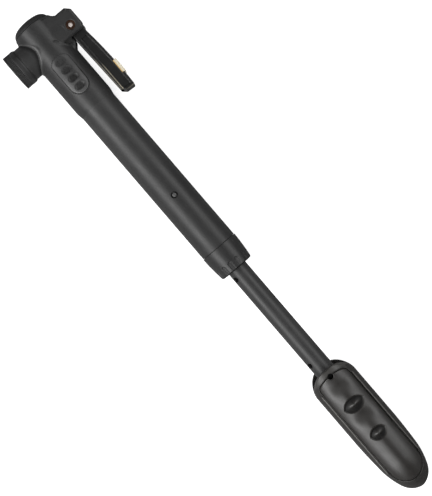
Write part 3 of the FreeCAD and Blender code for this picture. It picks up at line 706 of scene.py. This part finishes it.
def cam_point(degrees):
    """A point of the cam's spiral about the hinge."""
    radius = 5.0 + 2.0 * degrees / 90.0
    angle = math.radians(-90 - degrees)
    return (PIN_ALONG + radius * math.cos(angle), PIN_SIDE + radius * math.sin(angle))


LEVER = outline([
    cam_point(0), Via(cam_point(22.5)), cam_point(45), Via(cam_point(67.5)), cam_point(90),
    Via((PIN_ALONG - 6.16, PIN_SIDE + 3.3)), (PIN_ALONG - 3.4, PIN_SIDE + 5.0),
    (28.0, 24.3), Via((48.0, 25.6)), (LEVER_TIP - 0.7, 25.5), (LEVER_TIP, 24.9),
    (LEVER_TIP - 0.4, 19.4), (LEVER_TIP - 2.8, 16.8), (25.5, 15.6)])
CHANNEL = outline([
    (29.0, 10.0), (27.5, 19.5), (30.0, 22.4), Via((48.0, 23.5)), (LEVER_TIP - 2.0, 23.3),
    (LEVER_TIP - 1.6, 10.0)])


def lever_field(s, y, z):
    """A channel with a cam at its hinge, a recess in each side and a seat for its plate."""
    edge = polygon(LEVER, s, y)
    solid = common(edge, np.abs(z) - 6.0, 0.7)
    inner = np.maximum(18.3 - y, 29.0 - s)
    panel = common(np.maximum(edge + 1.8, inner), 5.3 - np.abs(z), 0.2)
    solid = cut(solid, panel, 0.25)
    solid = cut(solid, common(polygon(CHANNEL, s, y), np.abs(z) - 4.5, 0.3), 0.25)
    solid = cut(solid, np.hypot(s - PIN_ALONG, y - PIN_SIDE) - 1.55)
    return cut(solid, np.maximum(between(s, 50.7, 60.2), 24.25 - y), 0.15)


def lever_marks(s, y, z):
    """Pale painted highlight lines: on the recess's inner rim, the lever's inner edge and its
    tip.
    """
    rim = line_mark(y - 18.25, 0.28) * ramp(s, 46.0, 52.0) * (s < 67.8)
    inner = line_mark(y - 16.4 - (s - 46) * 0.02, 0.5) * ramp(s, 38.0, 46.0)
    tip = line_mark(s - LEVER_TIP + 0.3, 0.35) + line_mark(s - y - LEVER_TIP + 19.3, 0.5)
    side_face = np.abs(z) > 4.9
    return -(rim + 0.36 * inner + 0.35 * tip) * side_face


def label_field(s, y, z):
    """The plate on the lever's outer face."""
    plate = common(between(s, 50.8, 60.1), np.abs(z) - 5.95, 0.5)
    return common(plate, between(y, 24.3, 26.7), 0.35)


def make_lever(mats):
    """The clamp lever and its plate."""
    lever = skin("clamp_lever", lever_field, (11.5, 10.5, -6.6), (70.6, 26.6, 6.6), step=0.25)
    mark_surface(lever, lever_marks)
    finish_piece(lever, "lever", mats["lever_plastic"], ["flip_lever"],
                 sharp=60)
    label = skin("lever_plate", label_field, (50.4, 23.9, -6.4), (60.5, 27.1, 6.4), step=0.18)
    finish_piece(label, "lever", mats["label_plastic"], ["lever_label"],
                 sharp=60)


def stand(item, along, side):
    """Turn a piece drawn along X to stand along z at a place of the pump."""
    return move(item, Matrix.Translation((along, side, 0)) @ TO_FRONT)


def make_hinge(mats):
    """The lever's pin and the bushes around its two ends."""
    pin = lathe("hinge_pin", rounded([
        (-10.4, 0), (-10.35, 1.0, 0.3), (-10.0, PIN, 0.3), (10.0, PIN, 0.3), (10.35, 1.0, 0.3),
        (10.4, 0)]), around=64)
    stand(pin, PIN_ALONG, PIN_SIDE)
    finish_piece(pin, "barrel", mats["pin_steel"], ["lever_pin"])
    for name, low in (("front", 9.9), ("rear", -10.6)):
        bush = lathe(f"hinge_bush_{name}", rounded([
            (low, PIN), (low, BUSH), (low + 0.7, BUSH), (low + 0.7, PIN)], 0.2), around=64)
        stand(bush, PIN_ALONG, PIN_SIDE)
        finish_piece(bush, "barrel", mats["bush_bronze"],
                     [f"lever_pin_bush_{name}"])


# ---------------------------------------------------------------- barrel, collar, rod

def make_barrel(mats):
    """The barrel, with a pocket around its catch, and the catch's stud.

    Close rings around the catch keep the faces beside the pocket small.
    """
    around_catch = [(133.6 + 0.4 * k, BARREL, 0) for k in range(14)]
    barrel = lathe("barrel_sleeve", rounded([
        (34.0, BARREL_BORE), (34.0, SOCKET), (65.3, SOCKET), (65.3, BARREL, 0), *around_catch,
        (176.6, BARREL, 0.2), (176.6, 11.0), (187.0, 11.0), (187.0, BARREL_BORE)]))
    pocket = lathe("pocket_tool", [(11.0, 0), (11.0, 2.15), (13.0, 2.15), (13.0, 0)], around=48)
    stand(pocket, CATCH_ALONG, 0)
    subtract(barrel, pocket)
    finish_piece(barrel, "barrel", mats["barrel_plastic"], ["barrel_tube"])
    pin = lathe("catch_stud", rounded([
        (10.1, 0), (10.1, 0.9), (12.0, 0.9), (12.0, 1.35), (12.28, 1.05, 0.2), (12.42, 0.5, 0.2),
        (12.42, 0)], 0.05), around=48)
    stand(pin, CATCH_ALONG, 0)
    finish_piece(pin, "barrel", mats["catch_plastic"], ["catch_pin"])


FLUTES = 14
FLUTE_TURN = math.radians(17.5)


def collar_field(s, y, z):
    """The end nut: a tapered ring with flutes that run out over its chamfered end."""
    r = np.hypot(y, z)
    radius = np.interp(s, [176.7, 181.7, 188.7, 193.0], [12.35, 12.2, 11.65, 11.15])
    chamfer = (r - radius) * 0.5 + (s - 193.05) * 0.866
    body = common(common(r - radius, 176.7 - s, 0.2), np.maximum(chamfer, s - 193.6), 0.12)
    pitch = math.tau / FLUTES
    angle = (np.arctan2(y, z) - FLUTE_TURN + pitch / 2) % pitch - pitch / 2
    flute = np.hypot(angle * 11.6, np.maximum(188.8 - s, 0)) - 1.3
    body = cut(body, common(flute, radius - 0.42 - r, 0.15), 0.12)
    body = cut(body, common(r - 11.03, s - 188.4, 0.1), 0.2)
    body = cut(body, common(r - 9.05, between(s, 188.0, 190.6), 0.1), 0.2)
    return cut(body, r - 6.7, 0.3)


def collar_marks(s, y, z):
    """Painted shade on the end chamfer, a faint painted highlight where the flutes begin."""
    return 0.8 * ramp(s, 192.8, 193.2) - 0.1 * ramp(s, 186.8, 187.6) * (1 - ramp(s, 188.2, 189.0))


def make_collar(mats):
    """The end nut and the wiper ring inside it."""
    collar = skin("end_nut", collar_field, (176.2, -12.8, -12.8), (194.2, 12.8, 12.8), step=0.24)
    mark_surface(collar, collar_marks)
    finish_piece(collar, "barrel", mats["collar_plastic"], ["collar"],
                 sharp=60)
    wiper = lathe("wiper_ring", rounded([
        (188.5, 6.7), (188.5, 9.0), (190.5, 9.0), (190.5, 6.43, 0.2), (190.0, 6.43)], 0.1),
        around=96)
    finish_piece(wiper, "barrel", mats["seal_rubber"], ["rod_wiper"])


ROD_HOLES = (198.6, 266.7)
ROD_HOLE_TURN = 54.0
ROD_BORE = 4.5


def make_rod(mats):
    """The hollow rod, with close rings around the two holes drilled in it."""
    near_holes = [(hole - 3.2 + 0.4 * k, ROD) for hole in ROD_HOLES for k in range(17)]
    rod = lathe("rod_tube", [(182.3, ROD_BORE), (182.3, ROD), *near_holes, (357.6, ROD),
                             (358.0, ROD - 0.4), (358.0, ROD_BORE)], around=144)
    for hole in ROD_HOLES:
        tool = lathe("hole_tool", [(2.0, 0), (2.0, 1.8), (9.0, 1.8), (9.0, 0)], around=40)
        stand(tool, hole, 0)
        move(tool, Matrix.Rotation(math.radians(ROD_HOLE_TURN), 4, "X"))
        subtract(rod, tool)
    finish_piece(rod, "handle", mats["rod_plastic"], ["push_rod"], sharp=30)


# ---------------------------------------------------------------- handle

# Places back from the handle's tip, and the share of its full half-width there.
TIP_SHARES = ((32.5, 0.975), (22.9, 0.938), (15.0, 0.848), (9.0, 0.718), (3.0, 0.433), (0.0, 0.0))
CATCH_HOLE = 277.9
CATCH_HOLE_RADIUS = 1.85
HANDLE_BORE = 12.65
ROUND, FLANK = 15.2, 14.85


def tip_curve(full):
    """The handle's outline from its straight part to the tip, as three arcs."""
    points = [(322.0, full)]
    for index, (back, share) in enumerate(TIP_SHARES):
        place = (TIP - back, full * share)
        points.append(Via(place) if index % 2 == 0 else place)
    return points


TURNED = outline([(262.0, -25.0), (262.0, ROUND)] + tip_curve(ROUND) + [(TIP, -25.0)])
FLANKS = outline([
    (273.2, -25.0), (273.2, 0.0), Via((273.8, 6.2)), (277.4, 11.4), Via((280.2, 13.35)),
    (284.6, FLANK)] + tip_curve(FLANK) + [(TIP, -25.0)])
PANEL = outline([
    (283.0, -10.7), Via((280.2, -9.9)), (278.6, -8.0), Via((277.2, 0)), (278.6, 8.0),
    Via((280.2, 9.9)), (283.0, 10.7), (348.3, 10.7), Via((357.3, 0)), (348.3, -10.7)])


def shell_field(side):
    """One half of the handle, with the pocket for its grip and the step around it."""
    def field(s, y, z):
        r = np.hypot(y, z)
        round_part = polygon(TURNED, s, r)
        solid = common(round_part, polygon(FLANKS, s, np.abs(y)), 0.9)
        panel = polygon(PANEL, s, y)
        step = np.maximum(panel - 0.8, between(s, 284.5, 346.0))
        solid = cut(solid, common(step, -round_part - 0.7, 0.1), 0.3)
        solid = cut(solid, common(panel, -round_part - 1.75, 0.2), 0.3)
        solid = cut(solid, common(r - HANDLE_BORE, s - 338.5, 0.4), 0.4)
        solid = cut(solid, common(r - ROD, s - 358.0, 0.1), 0.2)
        about_anchor = np.hypot(s - 347.0, y)
        solid = cut(solid, common(about_anchor - PIN, np.abs(z) - 11.2, 0.1), 0.1)
        about_screw = np.hypot(s - 341.5, np.abs(y) - 8.0)
        solid = cut(solid, common(about_screw - 1.1, np.abs(z) - 7.0, 0.1), 0.1)
        if side == FRONT:
            catch = np.maximum(np.hypot(s - CATCH_HOLE, y) - CATCH_HOLE_RADIUS, -z)
            solid = cut(solid, catch, 0.3)
        return common(solid, 0.03 - z * side, 0.3)
    return field


def shell_marks(s, y, z):
    """Painted shade in the grooves beside the grip, painted highlights along their edges and on
    the lip.
    """
    panel = polygon(PANEL, s, y)
    beside = ramp(s, 283.5, 286.0) * (1 - ramp(s, 344.5, 346.5)) * (np.abs(y) > 10)
    groove = (1 - ramp(panel, 0.55, 0.8)) * (np.hypot(y, z) < ROUND)
    edge = line_mark(panel - 1.15, 0.38)
    lip = ramp(panel, 0.4, 1.2) * (1 - ramp(s, 277.0, 281.0)) * ramp(s, 272.8, 274.6)
    return beside * (0.25 * groove - 0.85 * edge) - 0.3 * lip


def eye(s, y, centre, width, to_head, to_tip):
    """A lens-shaped hollow at a place: its depth there, and the share of its bead."""
    head_arc = (width ** 2 / 4 + to_head ** 2) / (2 * to_head)
    tip_arc = (width ** 2 / 4 + to_tip ** 2) / (2 * to_tip)
    lens = np.maximum(np.hypot(y, s - centre - head_arc + to_head) - head_arc,
                      np.hypot(y, s - centre + tip_arc - to_tip) - tip_arc)
    hollow = 1.25 * ramp(-lens, -0.1, 1.3)
    bead = np.exp(-(y / (width * 0.25)) ** 2 - ((s - centre) / 1.3) ** 2)
    return hollow, bead


# Each eye's centre, its width across the grip, and its reach towards head and tip.
EYES = ((299.2, 15.1, 4.6, 5.2), (321.2, 11.8, 4.2, 4.6))
SADDLES = (286.5, 308.5)


def grip_relief(s, y):
    """The grip's eyes and saddles, measured inwards, and the low crown along its middle."""
    relief = 0
    for shape in EYES:
        hollow, bead = eye(s, y, *shape)
        relief = relief + hollow - 1.45 * bead
    for centre in SADDLES:
        relief = relief + 1.3 * np.exp(-((s - centre) / 4.4) ** 2 - (y / 5.2) ** 2)
    crown = ramp(s, 279.0, 284.0) * (1 - ramp(s, 342.0, 355.0))
    return relief - 0.45 * crown * np.exp(-(y / 3.6) ** 2)


def grip_marks(s, y, z):
    """Painted shade in the grip's two hollows, and a painted highlight with a smoother finish on
    the beads across them.
    """
    marks = 0
    for shape in EYES:
        hollow, bead = eye(s, y, *shape)
        marks = marks + 0.6 * hollow * (1 - bead) - 0.5 * bead ** 2
    return marks


def grip_field(side):
    """The soft panel let into one shell."""
    def field(s, y, z):
        r = np.hypot(y, z)
        round_part = polygon(TURNED, s, r)
        body = common(round_part + grip_relief(s, y), polygon(PANEL, s, y) + 0.1, 0.9)
        body = common(body, np.maximum(-round_part - 1.7, 3.0 - z * side), 0.1)
        if side == FRONT:
            body = cut(body, np.hypot(s - CATCH_HOLE, y) - CATCH_HOLE_RADIUS, 0.3)
        return body
    return field


def make_handle(mats):
    """The two shells of the handle and the grip in each."""
    for name, side in (("front", FRONT), ("rear", REAR)):
        low, high = sorted((-0.7 * side, 15.9 * side))
        shell = skin(f"handle_half_{name}", shell_field(side), (272.4, -15.6, low),
                     (366.8, 15.6, high), step=0.34)
        mark_surface(shell, shell_marks)
        finish_piece(shell, "handle", mats["handle_plastic"],
                     [f"handle_{name}_shell"], sharp=60)
        low, high = sorted((4.0 * side, 16.3 * side))
        grip = skin(f"grip_panel_{name}", grip_field(side), (276.6, -11.2, low),
                    (358.0, 11.2, high), step=0.26)
        mark_surface(grip, grip_marks)
        finish_piece(grip, "handle", mats["grip_rubber"], [f"{name}_grip"],
                     sharp=60)


# ---------------------------------------------------------------- what stays from the CAD

def finish_frame(mats):
    """Every CAD node that still shows gets the material of its slot."""
    for row in frame["record"]["subparts"]:
        node = frame["nodes"][row["node"]]
        if node.hide_render:
            continue
        for index in range(len(node.data.materials)):
            node.data.materials[index] = mats[row["material_slot"]]


# ---------------------------------------------------------------- studio

# The camera's height over the pump's axis, how much it sees from top to bottom there, the
# point of the row frame below it, and the direction that points right in its picture.
CAMERA_HEIGHT = 0.72
VIEW_HEIGHT = 0.299
SENSOR = 24.0
AIM = (-0.0068, -0.00255)
IMAGE_RIGHT = Vector((0.6514, 0.7587, 0))


def make_camera():
    """Straight down on the pump's front, turned so that the pump lies across the frame."""
    data = bpy.data.cameras.new("camera")
    camera = bpy.data.objects.new("camera", data)
    bpy.context.scene.collection.objects.link(camera)
    data.sensor_fit = "VERTICAL"
    data.sensor_height = SENSOR
    data.lens = SENSOR * CAMERA_HEIGHT / VIEW_HEIGHT
    data.clip_end = 20
    right = IMAGE_RIGHT.normalized()
    up = Vector((-right.y, right.x, 0))
    turn = Matrix((right, up, (0, 0, 1))).transposed().to_4x4()
    camera.matrix_world = Matrix.Translation((*AIM, AXIS.z + CAMERA_HEIGHT)) @ turn
    bpy.context.scene.camera = camera


def make_floor():
    """A plain pale floor at the lowest point of the pump."""
    span = 4.0
    floor = new_object("floor", [
        (-span, -span, 0), (span, -span, 0), (span, span, 0), (-span, span, 0)], [(0, 1, 2, 3)])
    floor.location.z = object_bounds()[0][2]
    material, tree, shader, place = new_material("floor_paper")
    paper = add(tree, "ShaderNodeTexNoise", Vector=place, Scale=30.0, Detail=3.0)
    tone = ramp_node(tree, paper.outputs[0], [(0.3, 0.88), (0.7, 0.90)])
    tree.links.new(tone, shader.inputs["Base Color"])
    shader.inputs["Roughness"].default_value = 0.9
    shader.inputs["Specular IOR Level"].default_value = 0.1
    shader.inputs["Emission Color"].default_value = (1, 1, 1, 1)
    shader.inputs["Emission Strength"].default_value = 0.8
    floor.data.materials.append(material)
    floor.visible_glossy = False


def make_strip(name, lean, distance, length, width, energy):
    """A long soft light parallel to the pump, leaning to one side of it."""
    data = bpy.data.lights.new(name, "AREA")
    data.shape = "RECTANGLE"
    data.size = length
    data.size_y = width
    data.energy = energy
    light = bpy.data.objects.new(name, data)
    bpy.context.scene.collection.objects.link(light)
    lean = math.radians(lean)
    light.location = (0, math.sin(lean) * distance, math.cos(lean) * distance)
    light.rotation_euler = (-lean, 0, 0)


def make_card(name, near, far, glow):
    """A dim card under the floor's level that only gloss can see: it lifts the sides."""
    reach, drop = 4.0, -0.5
    card = new_object(name, [
        (-reach, near, drop), (reach, near, drop), (reach, far, drop), (-reach, far, drop)],
        [(0, 1, 2, 3)])
    material, _, shader, _ = new_material(name)
    shader.inputs["Base Color"].default_value = (0, 0, 0, 1)
    shader.inputs["Emission Color"].default_value = (1, 1, 1, 1)
    shader.inputs["Emission Strength"].default_value = glow
    material.cycles.emission_sampling = "NONE"
    card.data.materials.append(material)
    card.visible_camera = False
    card.visible_diffuse = False
    card.visible_shadow = False


def make_lights():
    """A strip light on each side, the brighter one on the valve's, and a weak fill above."""
    make_card("valve_side_card", near=-6.0, far=0.0, glow=0.24)
    make_card("lever_side_card", near=0.0, far=6.0, glow=0.08)
    make_strip("valve_side_strip", lean=-46, distance=0.9, length=1.3, width=0.34, energy=9.0)
    make_strip("lever_side_strip", lean=46, distance=0.9, length=1.3, width=0.34, energy=4.4)
    make_strip("top_fill", lean=0, distance=1.6, length=2.4, width=2.4, energy=0.5)
    world = bpy.data.worlds.new("studio")
    bpy.context.scene.world = world
    world.use_nodes = True
    world.node_tree.nodes["Background"].inputs[0].default_value = (0.9, 0.9, 0.92, 1)
    world.node_tree.nodes["Background"].inputs[1].default_value = 0.9
    world.cycles_visibility.glossy = False
    world.cycles_visibility.diffuse = False


mats = make_materials()
make_camera()
make_head(mats)
make_port(mats)
make_lever(mats)
make_hinge(mats)
make_barrel(mats)
make_collar(mats)
make_rod(mats)
make_handle(mats)
finish_frame(mats)
make_floor()
make_lights()
bpy.context.scene.view_settings.view_transform = "Standard"
